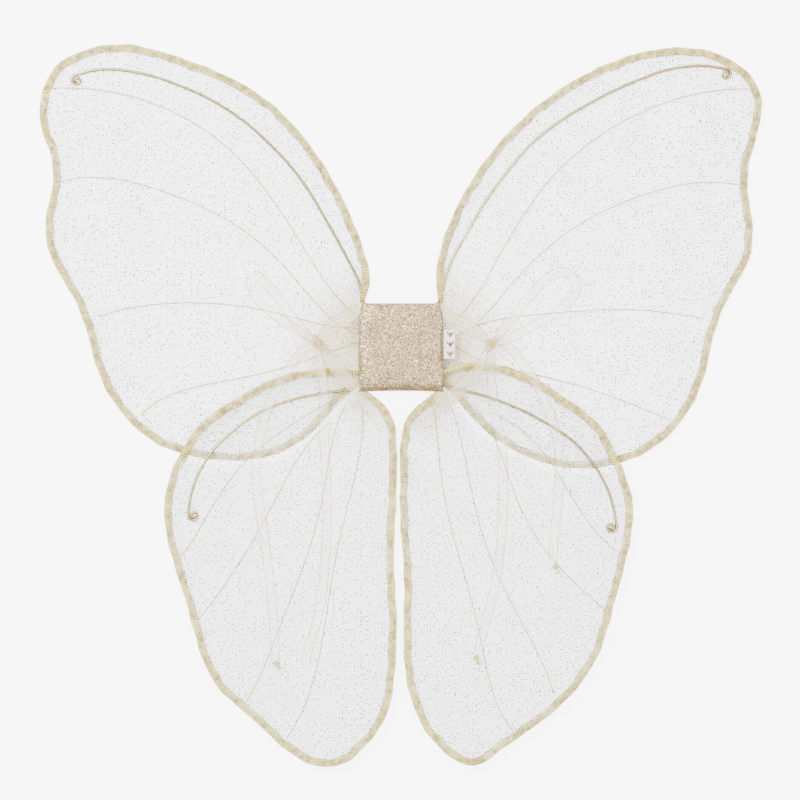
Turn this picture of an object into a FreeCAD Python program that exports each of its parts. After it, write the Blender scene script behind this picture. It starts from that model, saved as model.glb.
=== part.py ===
"""Fairy wings: four organza wings on a padded glitter patch, tied with four sheer ribbons.

Frame: millimetres. The wings lie flat on z = 0, seen from the front (+Z).  The origin is the
centre of the patch's flat back face, +X is the wearer's right, +Y is up the back.
"""
import FreeCAD
import Part
import math
import os

Vector = FreeCAD.Vector

# ---------------------------------------------------------------- driving dimensions
CLOTH = 0.4                 # one organza layer as a plain solid
WIRE_D = 1.8                # edge wire
WIRE_ROOM = 2.2             # space between the two layers, where the wire lies
HEM_WIDTH = 5.0             # overlocked edge
VEIN_WIDTH = 1.2            # stitched vein, thread to thread
VEIN_RISE = 0.3
LAYER_GAP = 0.2             # lower wings lie this far above the upper ones
CURL_R = (3.15, 2.2, 1.25)  # half-turn radii of a wire's curled end

PATCH_X = 58.6
PATCH_Y = 61.4
PATCH_Z = 10.0
PATCH_SEAM_Z = 5.0
PATCH_CORNER_R = 5.0
PATCH_TOP_R = 4.0
PATCH_SKIN = 0.8

RIBBON_WIDTH = 6.0
RIBBON_THICK = 0.5
KNOT_SIZE = (9.0, 11.0, 4.0)
TAIL_KNOT_SIZE = (5.0, 5.5, 3.0)

LABEL_X = (30.6, 37.4)
LABEL_Y = (-7.8, 12.3)
LABEL_LEAF = 0.3
LABEL_GAP = 0.2
STITCH = (0.5, 2.4, 0.6)
STITCH_X = 28.0
STITCH_Z = 8.7
STITCH_COUNT = 6

WING_STACK = 2 * CLOTH + WIRE_ROOM + VEIN_RISE
UPPER_Z = 0.0
LOWER_Z = WING_STACK + LAYER_GAP
TIE_Z = LOWER_Z + WING_STACK + LAYER_GAP      # the ties lie on the lower wings
UPPER_TIE_Z = TIE_Z + RIBBON_THICK + LAYER_GAP

# ---------------------------------------------------------------- wing patterns
# Each edge runs round the free hem from one side of the root to the other; root closes it.
WINGS = {
    "left_upper": {
        "z": UPPER_Z,
        "edge": [(-24, 36), (-21.5, 48), (-24, 61), (-42, 106), (-70, 149), (-91, 170), (-119, 187.5),
                 (-159, 203), (-195, 210.5), (-219, 206.5), (-239, 195.5), (-248.5, 178), (-250, 155),
                 (-243.5, 136), (-241, 116), (-246.5, 89), (-242, 61), (-224.5, 30), (-214, -3),
                 (-205, -28), (-192, -47), (-174, -63.5), (-153.5, -73), (-123, -78), (-87, -74),
                 (-57, -54), (-43, -35)],
        "root": [(-38, -20), (-38, 34)],
        "veins": [[(-244, 180), (-195, 176), (-147, 158), (-111, 129), (-77, 85), (-51, 43), (-39, 30)],
                  [(-237, 116), (-202, 117), (-159, 107), (-111, 81), (-74, 50), (-49, 20), (-39, 15)],
                  [(-209, 22), (-171, 30), (-123, 30), (-92, 25.5), (-65, 18.5), (-39, 14)],
                  [(-180, -46), (-153, -30), (-105, -20), (-76, -12), (-59, -6.5), (-39, 1)]],
        "wire": [(-26.5, 33.5), (-29, 46), (-42, 71), (-70, 120), (-105, 155), (-135, 174.5),
                 (-171, 188.5), (-195, 193), (-212, 193), (-226, 188.8)],
        "turn": 1,
    },
    "right_upper": {
        "z": UPPER_Z,
        "edge": [(25.5, 36), (25, 57), (30.5, 78), (55, 125), (89.5, 163.5), (119.5, 185), (155.5, 201.5),
                 (190, 208), (216, 205), (237.5, 193.5), (249, 177), (250, 163.5), (243.5, 136.5),
                 (240, 112), (243.5, 87), (241.5, 62), (227.5, 36), (217, 10), (209.5, -22),
                 (196.5, -48), (175.5, -69), (152, -80), (116.5, -83.5), (80, -72), (51.5, -51),
                 (41, -38)],
        "root": [(38, -24), (38, 34)],
        "veins": [[(246, 179), (203, 175.5), (164, 162), (121, 134), (89.5, 99), (67, 61), (42, 23)],
                  [(235, 113), (185, 111), (143, 95.5), (101, 69), (77, 44), (56, 20)],
                  [(210, 20), (171.5, 25.5), (131, 26), (92, 22.5), (61, 18), (39, 9)],
                  [(185, -50), (152, -36), (98.5, -20), (55, -8.5), (39, 0)]],
        "wire": [(27.5, 33.5), (30, 46), (35, 61), (62, 108), (89.5, 141.5), (113, 159.5), (149, 179.5),
                 (185, 193.5), (209, 196), (226, 193.2)],
        "turn": -1,
    },
    "left_lower": {
        "z": LOWER_Z,
        "edge": [(-34, -15.5), (-57.5, -15), (-89, -22), (-116.5, -37), (-140, -54), (-151, -70),
                 (-160, -89), (-164, -113), (-160, -140), (-148, -179), (-140, -208), (-127, -235),
                 (-107, -253.5), (-87, -272), (-59, -289.5), (-41.5, -289), (-24, -275), (-9.5, -253.5),
                 (-5, -230.5), (-3, -192), (-5, -147), (-3.5, -106), (-3, -70), (-7, -46), (-18, -34.5)],
        "root": [(-34, -34)],
        "veins": [[(-152, -145), (-128, -106), (-109, -80), (-84, -59), (-39, -31)],
                  [(-140, -188), (-112, -149), (-91, -113), (-74, -81), (-57.5, -59)],
                  [(-107, -246), (-82.5, -191), (-67, -148), (-53, -99), (-47, -62), (-42, -49)],
                  [(-78.5, -270), (-55.5, -209), (-47, -153.5), (-33, -94), (-26, -50)]],
        "wire": [(-34, -29), (-54, -31.5), (-75, -35.5), (-95, -43), (-110.5, -52.5), (-130.5, -70.5),
                 (-141, -88), (-146, -103), (-147.2, -116)],
        "turn": 1,
    },
    "right_lower": {
        "z": LOWER_Z,
        "edge": [(25, -34.5), (13, -38.5), (2, -54), (-0.5, -84), (-0.5, -119), (2, -153.5), (2, -210.5),
                 (4.5, -233.5), (17.5, -266), (38, -286), (48, -290), (67.5, -280), (97, -259),
                 (120, -238), (136, -214), (145.5, -185.5), (153.5, -155.5), (160, -126),
                 (159.5, -101.5), (150, -76.5), (137.5, -54), (114.5, -35.5), (88, -19), (66, -12),
                 (34, -12.5)],
        "root": [(34, -34)],
        "veins": [[(149.5, -141), (127, -117), (107.5, -85.5), (83, -57), (72, -50)],
                  [(142, -182), (109.5, -151.5), (82, -110), (64, -61), (44.5, -36)],
                  [(106, -239), (87, -196.5), (58.5, -136), (46.5, -87), (35, -41)],
                  [(76, -265), (58.5, -221), (44.5, -156.5), (31, -111), (24.5, -54), (22, -41)]],
        "wire": [(34, -27.5), (51.5, -31.5), (69, -37), (85.5, -44), (104, -54), (120, -65), (134, -81),
                 (143, -97), (147.5, -111), (149.2, -124)],
        "turn": -1,
    },
}

# ---------------------------------------------------------------- tie routes
TIES = {
    "left_upper": {
        "z": UPPER_TIE_Z,
        "strap": [(-33, 23.5), (-39, 19.5), (-46, 16.5), (-52, 12.5), (-57, 3)],
        "loop": [(-60, 8), (-77, 23), (-87, 37), (-95, 47), (-102, 50), (-105, 45), (-101, 35),
                 (-93, 26), (-79, 14), (-60, 1)],
        "tail": [(-57, 3), (-68, 1), (-74, -9), (-82, -21), (-92, -40), (-99, -67), (-101, -90),
                 (-97, -114), (-92.5, -147), (-88, -185), (-87, -214)],
        "end_knot": (-86, -218.5),
    },
    "left_lower": {
        "z": TIE_Z,
        "strap": [(-33, -27), (-38, -23), (-44, -16), (-51, -7), (-57, 3)],
        "loop": [],
        "tail": [(-57, 3), (-56, -9), (-53, -25), (-53.5, -47), (-53, -72), (-51.5, -97), (-51, -126),
                 (-53.5, -164), (-58, -190), (-65, -212), (-66, -219)],
        "end_knot": None,
    },
    "right_upper": {
        "z": UPPER_TIE_Z,
        "strap": [(33, 22), (40, 17.5), (49, 12), (55, 8), (62.5, 2.5)],
        "loop": [(65, 1), (82, 10), (97, 17), (110, 25), (120, 35), (121, 45), (112, 53), (101, 49),
                 (90, 38), (79, 22), (66, 8)],
        "tail": [(62.5, 2.5), (72, 5), (79, -4), (91, -20), (104, -46), (110.5, -72), (109, -105),
                 (105, -138), (105, -147)],
        "end_knot": (107, -151.5),
    },
    "right_lower": {
        "z": TIE_Z,
        "strap": [(26.5, -34.5), (27, -39), (31.5, -42), (38, -39), (45, -31.5), (51.5, -24),
                  (57.5, -12.5), (62.5, 2.5)],
        "loop": [],
        "tail": [(62.5, 2.5), (61.5, -12.5), (62.5, -26), (65, -44), (70, -69), (71, -101), (69.5, -135),
                 (64.5, -170), (56, -198), (54.5, -209)],
        "end_knot": (52, -214.5),
    },
}
KNOTS = {"left": (-57, 3), "right": (62.5, 2.5)}

BEND_SHARE = 0.45        # share of the shorter run that a bend may use
OFFSET_SAMPLES = 48      # points on a curve that is moved sideways


# ---------------------------------------------------------------- helpers
def flat(point, z=0.0):
    """A point of a flat pattern at height z."""
    return Vector(point[0], point[1], z)


def spline(points):
    """The smooth curve through the points, at z = 0."""
    curve = Part.BSplineCurve()
    curve.interpolate([flat(point) for point in points])
    return curve


def beside(curve, distance):
    """The curve moved sideways by a distance: positive is to the left of its direction."""
    first, last = curve.FirstParameter, curve.LastParameter
    moved = []
    for index in range(OFFSET_SAMPLES + 1):
        at = first + (last - first) * index / OFFSET_SAMPLES
        along = curve.tangent(at)[0]
        moved.append(curve.value(at) + Vector(-along.y, along.x, 0) * distance)
    return spline([(point.x, point.y) for point in moved])


def slab(edges, z, height):
    """A flat solid over a closed chain of edges."""
    solid = Part.Face(Part.Wire(edges)).extrude(Vector(0, 0, height))
    if solid.Volume < 0:
        solid.reverse()
    solid.translate(Vector(0, 0, z))
    return solid


def lines(points):
    """Straight edges through the points, skipping any of no length."""
    pairs = zip(points, points[1:])
    return [Part.LineSegment(a, b).toShape() for a, b in pairs if a.distanceToPoint(b) > 1e-6]


def band(curve, near, far, z, height):
    """A flat strip between two sideways copies of a curve."""
    one, two = beside(curve, near), beside(curve, far)
    far_end = lines([one.EndPoint, two.EndPoint])
    near_end = lines([two.StartPoint, one.StartPoint])
    return slab([one.toShape()] + far_end + [two.toShape()] + near_end, z, height)


def inside_sign(points):
    """+1 where the pattern lies to the left of its edge's direction, -1 to the right."""
    area = sum(a[0] * b[1] - b[0] * a[1] for a, b in zip(points, points[1:] + points[:1]))
    return math.copysign(1.0, area)


def bends(route, name):
    """The straight runs and tangent arcs of a flat route; prints the tightest radius."""
    points = [flat(point) for point in route]
    edges = []
    start = points[0]
    radii = []
    for before, corner, after in zip(points, points[1:], points[2:]):
        back, ahead = before - corner, after - corner
        shorter = min(back.Length, ahead.Length)
        half_turn = (math.pi - back.getAngle(ahead)) / 2
        reach = BEND_SHARE * shorter
        radius = reach / math.tan(half_turn)
        back.normalize()
        ahead.normalize()
        arc_in = corner + back * reach
        arc_out = corner + ahead * reach
        to_centre = back + ahead
        to_centre.normalize()
        middle = corner + to_centre * (radius / math.cos(half_turn) - radius)
        edges += lines([start, arc_in])
        edges.append(Part.Arc(arc_in, middle, arc_out).toShape())
        start = arc_out
        radii.append(radius)
    edges += lines([start, points[-1]])
    print(f"{name}: tightest bend {min(radii):.1f} mm, length {sum(e.Length for e in edges):.0f} mm")
    return edges


def strip(route, z, name):
    """A flat ribbon along a route: each run and arc widened to both sides and joined."""
    half = RIBBON_WIDTH / 2
    left, right = [], []
    for edge in bends(route, name):
        middle = (edge.FirstParameter + edge.LastParameter) / 2
        for at in (edge.FirstParameter, middle, edge.LastParameter):
            along = edge.tangentAt(at)
            side = Vector(-along.y, along.x, 0) * half
            left.append(edge.valueAt(at) + side)
            right.append(edge.valueAt(at) - side)
    outline = []
    for row in (left, right):
        for start, middle, end in zip(row[0::3], row[1::3], row[2::3]):
            straight = middle.distanceToLine(start, end - start) < 1e-4
            curve = Part.LineSegment(start, end) if straight else Part.Arc(start, middle, end)
            outline.append(curve.toShape())
    outline += lines([left[-1], right[-1]]) + lines([right[0], left[0]])
    solid = slab(Part.__sortEdges__(outline), z, RIBBON_THICK)
    print(f"  volume {solid.Volume:.0f} mm3")
    return solid


def tube(edges, z):
    """The edge wire along a flat chain of runs and arcs."""
    path = Part.Wire(edges)
    start = path.OrderedVertexes[0].Point
    along = path.OrderedEdges[0].tangentAt(path.OrderedEdges[0].FirstParameter)
    ring = Part.Wire(Part.Circle(start, along, WIRE_D / 2).toShape())
    solid = path.makePipeShell([ring], True, True)
    solid.translate(Vector(0, 0, z))
    return solid


def curl(start, along, turn):
    """The curled end of a wire: half turns of shrinking radius, each tangent to the last."""
    edges = []
    at = start
    side = Vector(-along.y, along.x, 0) * turn
    for radius in CURL_R:
        centre = at + side * radius
        middle = centre + along * radius
        end = centre + side * radius
        edges.append(Part.Arc(at, middle, end).toShape())
        at = end
        along, side = along * -1, side * -1
    return edges


def rounded_box(size, centre, z, radius):
    """A box with every edge rounded, standing on z."""
    box = Part.makeBox(*size, Vector(centre[0] - size[0] / 2, centre[1] - size[1] / 2, z))
    return box.makeFillet(radius, box.Edges)


def save(name, *solids):
    """Write one sub-part."""
    shape = solids[0] if len(solids) == 1 else Part.makeCompound(list(solids))
    if not shape.isValid():
        print("NOT VALID:", name)
    shape.exportStep(f"parts/{name}.step")


# ---------------------------------------------------------------- wings
def wing(name, design):
    """One wing: two organza layers, the hem round them, the veins and the curled wire."""
    z = design["z"]
    edge = spline(design["edge"])
    inward = HEM_WIDTH * inside_sign(design["edge"])
    root = [flat(point) for point in design["root"]]
    outer = [edge.toShape()] + lines([edge.EndPoint] + root + [edge.StartPoint])
    hem_line = beside(edge, inward)
    inner = [hem_line.toShape()] + lines([hem_line.EndPoint] + root + [hem_line.StartPoint])
    front_z = z + CLOTH + WIRE_ROOM
    save(f"{name}_back_panel", slab(outer, z, CLOTH))
    save(f"{name}_front_panel", slab(inner, front_z, CLOTH))
    save(f"{name}_hem", band(edge, 0.0, inward, z + CLOTH, WIRE_ROOM + CLOTH))
    half = VEIN_WIDTH / 2
    veins = [band(spline(line), -half, half, front_z + CLOTH, VEIN_RISE) for line in design["veins"]]
    save(f"{name}_veins", *veins)
    route = bends(design["wire"], f"{name}_wire")
    last = flat(design["wire"][-1])
    along = last - flat(design["wire"][-2])
    along.normalize()
    wire_z = z + CLOTH + WIRE_ROOM / 2
    save(f"{name}_wire", tube(route + curl(last, along, design["turn"]), wire_z))


# ---------------------------------------------------------------- patch and label
def patch():
    """The padded centre: a front and a back cover, the filling and the wires' middle stretches."""
    whole = Part.makeBox(PATCH_X, PATCH_Y, PATCH_Z, Vector(-PATCH_X / 2, -PATCH_Y / 2, 0))
    upright = [edge for edge in whole.Edges if edge.BoundBox.ZLength > PATCH_Z / 2]
    whole = whole.makeFillet(PATCH_CORNER_R, upright)
    rim = [edge for edge in whole.Edges if edge.BoundBox.ZMin > PATCH_Z - 1e-3]
    whole = whole.makeFillet(PATCH_TOP_R, rim)
    room_size = (PATCH_X - 2 * PATCH_SKIN, PATCH_Y - 2 * PATCH_SKIN, PATCH_Z - 2 * PATCH_SKIN)
    room = rounded_box(room_size, (0, 0), PATCH_SKIN, PATCH_TOP_R - PATCH_SKIN)
    above = Part.makeBox(2 * PATCH_X, 2 * PATCH_Y, PATCH_Z, Vector(-PATCH_X, -PATCH_Y, PATCH_SEAM_Z))
    shell = whole.cut(room)
    save("patch_front", shell.common(above))
    save("patch_back", shell.cut(above))
    cores = {}
    inset = PATCH_SKIN + WIRE_D
    top_y = PATCH_Y / 2 - inset - 1
    across = PATCH_X / 2 - inset - 1
    for name, y in (("upper_wire_core", top_y), ("lower_wire_core", -top_y)):
        start = Vector(-across, y, PATCH_SEAM_Z)
        cores[name] = Part.makeCylinder(WIRE_D / 2, 2 * across, start, Vector(1, 0, 0))
        save(name, cores[name])
    save("patch_padding", room.cut(Part.makeCompound(list(cores.values()))))


def label():
    """The folded satin label at the patch's right edge, and the stitches that hold it."""
    length = LABEL_Y[1] - LABEL_Y[0]
    width = LABEL_X[1] - LABEL_X[0]
    depth = 2 * LABEL_LEAF + LABEL_GAP
    folded = Part.makeBox(width, length, depth, Vector(LABEL_X[0], LABEL_Y[0], TIE_Z + LAYER_GAP))
    slot_at = Vector(LABEL_X[0], LABEL_Y[0], TIE_Z + LAYER_GAP + LABEL_LEAF)
    save("label", folded.cut(Part.makeBox(width - LABEL_LEAF, length, LABEL_GAP, slot_at)))
    pitch = length / STITCH_COUNT
    stitches = []
    for index in range(STITCH_COUNT):
        corner = Vector(STITCH_X, LABEL_Y[0] + pitch * index + (pitch - STITCH[1]) / 2, STITCH_Z)
        stitches.append(Part.makeBox(*STITCH, corner))
    save("label_stitches", *stitches)


# ---------------------------------------------------------------- ties
def tie(name, design, knot):
    """One ribbon: the strap to the knot, the bow's loop as its outer shape, and the tail."""
    z = design["z"]
    strap = strip(design["strap"], z, f"{name}_ribbon strap")
    tail = strip(design["tail"], z, f"{name}_ribbon tail")
    whole = strap.fuse(tail)
    if design["loop"]:
        leaf = spline(design["loop"])
        loop = slab([leaf.toShape()] + lines([leaf.EndPoint, leaf.StartPoint]), z, RIBBON_THICK)
        whole = whole.fuse(loop)
    whole = whole.cut(knot)
    if design["end_knot"]:
        end = rounded_box(TAIL_KNOT_SIZE, design["end_knot"], TIE_Z, 1.2)
        whole = whole.cut(end)
        save(f"{name}_tail_knot", end)
    save(f"{name}_ribbon", *whole.Solids)


def main():
    """Make every sub-part."""
    os.makedirs("parts", exist_ok=True)
    for name, design in WINGS.items():
        wing(name, design)
    patch()
    label()
    for side, centre in KNOTS.items():
        knot = rounded_box(KNOT_SIZE, centre, TIE_Z, 1.6)
        save(f"{side}_knot", knot)
        for level in ("upper", "lower"):
            tie(f"{side}_{level}", TIES[f"{side}_{level}"], knot)


main()
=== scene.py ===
# %% [markdown]
# # Sheer fairy wings
#
# Four organza wings lie flat around a padded glitter patch, and four narrow ribbons tie in a half
# bow on each side.  Nearly everything here is thin, soft and see-through, so the lesson is about
# cloth that is one polygon thick, thread that is real geometry, and light that passes through both.
# The frame below is the measured model.  It gives every place and size that is used later.

# %% Load the frame
import bmesh
import bpy
import numpy as np
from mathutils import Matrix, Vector


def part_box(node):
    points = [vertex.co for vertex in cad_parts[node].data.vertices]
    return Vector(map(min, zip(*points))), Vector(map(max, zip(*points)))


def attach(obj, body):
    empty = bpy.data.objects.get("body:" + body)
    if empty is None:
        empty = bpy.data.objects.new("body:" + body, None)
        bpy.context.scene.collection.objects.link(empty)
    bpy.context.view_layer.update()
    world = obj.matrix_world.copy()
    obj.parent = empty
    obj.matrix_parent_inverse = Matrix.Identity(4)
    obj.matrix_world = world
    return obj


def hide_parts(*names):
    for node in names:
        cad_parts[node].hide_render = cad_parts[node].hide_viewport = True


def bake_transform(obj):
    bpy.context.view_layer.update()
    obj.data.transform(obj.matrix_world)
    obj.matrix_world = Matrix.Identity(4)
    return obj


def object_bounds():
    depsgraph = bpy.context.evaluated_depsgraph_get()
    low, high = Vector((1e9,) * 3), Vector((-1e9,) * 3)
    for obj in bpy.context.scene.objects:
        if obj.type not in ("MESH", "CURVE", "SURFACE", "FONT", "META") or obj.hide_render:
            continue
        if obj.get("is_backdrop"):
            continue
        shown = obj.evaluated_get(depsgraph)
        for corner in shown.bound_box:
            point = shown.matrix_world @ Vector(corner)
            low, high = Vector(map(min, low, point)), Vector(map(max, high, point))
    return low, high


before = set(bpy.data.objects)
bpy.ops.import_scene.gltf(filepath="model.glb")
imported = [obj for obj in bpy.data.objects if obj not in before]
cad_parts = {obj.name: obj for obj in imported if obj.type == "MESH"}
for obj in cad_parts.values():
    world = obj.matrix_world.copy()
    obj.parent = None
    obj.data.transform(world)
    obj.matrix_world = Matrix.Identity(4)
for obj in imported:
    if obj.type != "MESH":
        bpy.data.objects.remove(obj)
cad_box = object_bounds()

# %% [markdown]
# ## Camera
#
# A flat object is best seen from straight above.  A long lens keeps the outline true: from over
# two metres away, a patch one centimetre high is barely larger than the cloth round it.

# %% Camera
MM = 0.001
VIEW_WIDTH = 555.2 * MM           # stretch of floor across the picture
AIM = (-0.7 * MM, -36.3 * MM)
HEIGHT = 2.2

camera_data = bpy.data.cameras.new("camera")
camera_data.lens = camera_data.sensor_width * HEIGHT / VIEW_WIDTH
camera = bpy.data.objects.new("camera", camera_data)
camera.location = (AIM[0], AIM[1], HEIGHT)
bpy.context.scene.collection.objects.link(camera)
bpy.context.scene.camera = camera
print(f"lens {camera_data.lens:.0f} mm")

# %% [markdown]
# ## Grids, tubes and pieces
#
# Every new surface is a function of two parameters, worked out on a whole grid at once.  One
# helper turns such a grid into quads, another carries a round section along a path, and a third
# puts the result into Blender as a piece.

# %% Helpers for shapes
def unit(vectors):
    """Each vector divided by its own length."""
    return vectors / np.maximum(np.linalg.norm(vectors, axis=-1, keepdims=True), 1e-12)


def grid_faces(rows, columns, close_rows=False, close_columns=False, start=0):
    """Quads between neighbouring grid points: (i, j), (i+1, j), (i+1, j+1), (i, j+1)."""
    i = np.arange(rows if close_rows else rows - 1)
    j = np.arange(columns if close_columns else columns - 1)
    i, j = np.meshgrid(i, j, indexing="ij")
    after_i, after_j = (i + 1) % rows, (j + 1) % columns
    row, after_row = i * columns, after_i * columns
    corners = [row + j, after_row + j, after_row + after_j, row + after_j]
    return np.stack(corners, axis=-1).reshape(-1, 4) + start


def along(path):
    """Distance walked to each point of a path, starting at 0."""
    steps = np.linalg.norm(np.diff(path, axis=0), axis=1)
    return np.concatenate([[0.0], np.cumsum(steps)])


def resample(path, spacing):
    """The path with points evenly spaced along it, about that far apart."""
    walked = along(path)
    at = np.linspace(0.0, walked[-1], max(3, int(round(walked[-1] / spacing)) + 1))
    return np.stack([np.interp(at, walked, path[:, axis]) for axis in range(path.shape[1])], axis=1)


def smoothed(path, reach):
    """Each point replaced by the average of its neighbours under a bell curve of that reach.  The
    path is turned half round about each end first, so the ends stay where they are."""
    step = along(path)[-1] / (len(path) - 1)
    count = int(3 * reach / step)
    bell = np.exp(-0.5 * (np.arange(-count, count + 1) * step / reach) ** 2)
    before = 2 * path[0] - path[count:0:-1]
    after = 2 * path[-1] - path[-2:-count - 2:-1]
    long = np.concatenate([before, path, after])
    bell /= bell.sum()
    return np.stack([np.convolve(long[:, axis], bell, "valid") for axis in range(path.shape[1])], axis=1)


def nearest(flat, lines):
    """Distance from each point to the nearest of the points of some lines."""
    targets = np.concatenate(lines)
    best = np.full(flat.shape[:-1], np.inf)
    for some in np.array_split(targets, max(1, len(targets) // 60)):
        gaps = np.linalg.norm(flat[..., None, :] - some, axis=-1).min(axis=-1)
        best = np.minimum(best, gaps)
    return best


def tube(path, radius, reference=(0, 0, 1), sides=6):
    """A round thread: at each path point a ring of that radius, square to the path and turned from
    a reference direction that the path never follows.  Returns points and faces, ends closed."""
    path = np.asarray(path, dtype=float)
    tangent = unit(np.gradient(path, axis=0))
    side = unit(np.cross(np.broadcast_to(reference, path.shape), tangent))
    up = np.cross(tangent, side)
    turn = np.arange(sides) * 2 * np.pi / sides
    radius = np.broadcast_to(radius, len(path))[:, None, None]
    ring = side[:, None] * np.cos(turn)[None, :, None] + up[:, None] * np.sin(turn)[None, :, None]
    points = (path[:, None] + radius * ring).reshape(-1, 3)
    faces = grid_faces(len(path), sides, close_columns=True)[:, ::-1].tolist()
    last = (len(path) - 1) * sides
    faces += [list(range(sides)), [last + k for k in reversed(range(sides))]]
    return points, faces


def joined(parts):
    """Several (points, faces) lists as one."""
    points, faces, start = [], [], 0
    for some, those in parts:
        points.append(some)
        faces += [[corner + start for corner in face] for face in those]
        start += len(some)
    return np.concatenate(points), faces


def make_piece(name, points, faces, materials, smooth=True):
    """A new mesh object from points and faces, with its place in its mesh."""
    mesh = bpy.data.meshes.new(name)
    mesh.from_pydata(np.asarray(points).tolist(), [], [list(map(int, face)) for face in faces])
    mesh.polygons.foreach_set("use_smooth", np.full(len(mesh.polygons), smooth))
    piece = bpy.data.objects.new(name, mesh)
    bpy.context.scene.collection.objects.link(piece)
    for material in materials:
        mesh.materials.append(material)
    mesh.update()
    return piece


def give_uv(piece, uv):
    """A UV map from one (u, v) pair for each vertex."""
    mesh = piece.data
    corners = np.empty(len(mesh.loops), dtype=int)
    mesh.loops.foreach_get("vertex_index", corners)
    layer = mesh.uv_layers.new(name="cloth")
    layer.data.foreach_set("uv", np.asarray(uv, dtype=float)[corners].ravel())


def points_of(node):
    """All vertices of a node of the frame, in metres."""
    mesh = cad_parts[node].data
    flat = np.empty(len(mesh.vertices) * 3)
    mesh.vertices.foreach_get("co", flat)
    return flat.reshape(-1, 3)

# %% [markdown]
# ## Colours and nodes
#
# Paint chips are read in sRGB, and the renderer adds light in linear numbers, so each hex value
# is turned round once.  One small function adds a shader node with its settings and its links.

# %% Helpers for materials
def colour(code):
    """An sRGB hex value as linear red, green, blue and alpha."""
    srgb = np.array([int(code[k:k + 2], 16) for k in (1, 3, 5)]) / 255
    linear = np.where(srgb <= 0.04045, srgb / 12.92, ((srgb + 0.055) / 1.055) ** 2.4)
    return (*linear.tolist(), 1.0)


def new_material(name):
    """An empty node material and its tree."""
    material = bpy.data.materials.new(name)
    material.use_nodes = True
    material.node_tree.nodes.clear()
    return material, material.node_tree


def add(tree, kind, inputs=None, **settings):
    """One shader node: its settings first, then each input, a value or another node's output."""
    made = tree.nodes.new(kind)
    for name, value in settings.items():
        setattr(made, name, value)
    for name, value in (inputs or {}).items():
        if isinstance(value, bpy.types.NodeSocket):
            tree.links.new(value, made.inputs[name])
        else:
            made.inputs[name].default_value = value
    return made


def wave_scale(spacing):
    """The Scale of a band Wave texture whose stripes are that far apart: the texture takes the sine
    of 20 times the scaled place, so its stripes are a tenth of pi apart at Scale 1."""
    return np.pi / 10 / spacing


def ramp_stops(ramp, *stops):
    """Set a colour ramp's (place, hex) stops."""
    elements = ramp.color_ramp.elements
    while len(elements) < len(stops):
        elements.new(1.0)
    for element, (place, code) in zip(elements, stops):
        element.position = place
        element.color = colour(code)

# %% [markdown]
# ## Ribbon cloth and gold edge thread
#
# The ties are narrow sheer ribbon, woven in nylon with a fine metallic thread along each edge.
# Sheer cloth is mostly holes: the eye sees a thin milky veil, and more of it where it is folded.

# %% Ribbon materials
RIBBON_WIDTH = 6 * MM
RIBBON_RIB = 1.776 * MM        # cross ribs; the real ones are too fine to show, so these are coarser

ribbon_cloth, tree = new_material("sheer nylon ribbon")
where = add(tree, "ShaderNodeTexCoord")
ribs = add(tree, "ShaderNodeTexWave", {"Vector": where.outputs["UV"], "Scale": wave_scale(RIBBON_RIB),
                                       "Distortion": 1.5, "Detail": 2.0}, wave_type="BANDS")
rib_bump = add(tree, "ShaderNodeBump", {"Height": ribs.outputs["Fac"], "Strength": 0.15,
                                        "Distance": 0.1 * MM})
cloud = add(tree, "ShaderNodeTexNoise", {"Vector": where.outputs["Object"], "Scale": 120.0, "Detail": 3.0})
veil = add(tree, "ShaderNodeMapRange", {"Value": cloud.outputs["Fac"], "From Min": 0.3, "From Max": 0.7,
                                        "To Min": 0.13, "To Max": 0.27})
gathered = add(tree, "ShaderNodeAttribute", attribute_name="gathered")
thick = add(tree, "ShaderNodeMath", {0: gathered.outputs["Fac"], 1: 0.30, 2: veil.outputs["Result"]},
            operation="MULTIPLY_ADD")
tint = add(tree, "ShaderNodeMix", {"Factor": gathered.outputs["Fac"], "A": colour("#FAF6E6"),
                                   "B": colour("#F0E6BE")}, data_type="RGBA")
skin = add(tree, "ShaderNodeBsdfPrincipled", {"Base Color": tint.outputs["Result"], "Roughness": 0.45,
                                              "Sheen Weight": 0.3, "Alpha": thick.outputs[0],
                                              "Normal": rib_bump.outputs["Normal"]})
add(tree, "ShaderNodeOutputMaterial", {"Surface": skin.outputs["BSDF"]})

edge_thread, tree = new_material("metallic ribbon edge thread")
where = add(tree, "ShaderNodeTexCoord")
glints = add(tree, "ShaderNodeTexNoise", {"Vector": where.outputs["Object"], "Scale": 900.0, "Detail": 2.0})
tint = add(tree, "ShaderNodeValToRGB", {"Fac": glints.outputs["Fac"]})
ramp_stops(tint, (0.35, "#AC8A26"), (0.65, "#E2C664"))
skin = add(tree, "ShaderNodeBsdfPrincipled", {"Base Color": tint.outputs["Color"], "Roughness": 0.35,
                                              "Metallic": 0.2})
add(tree, "ShaderNodeOutputMaterial", {"Surface": skin.outputs["BSDF"]})
print("ribbon materials:", ribbon_cloth.name, "and", edge_thread.name)
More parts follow.
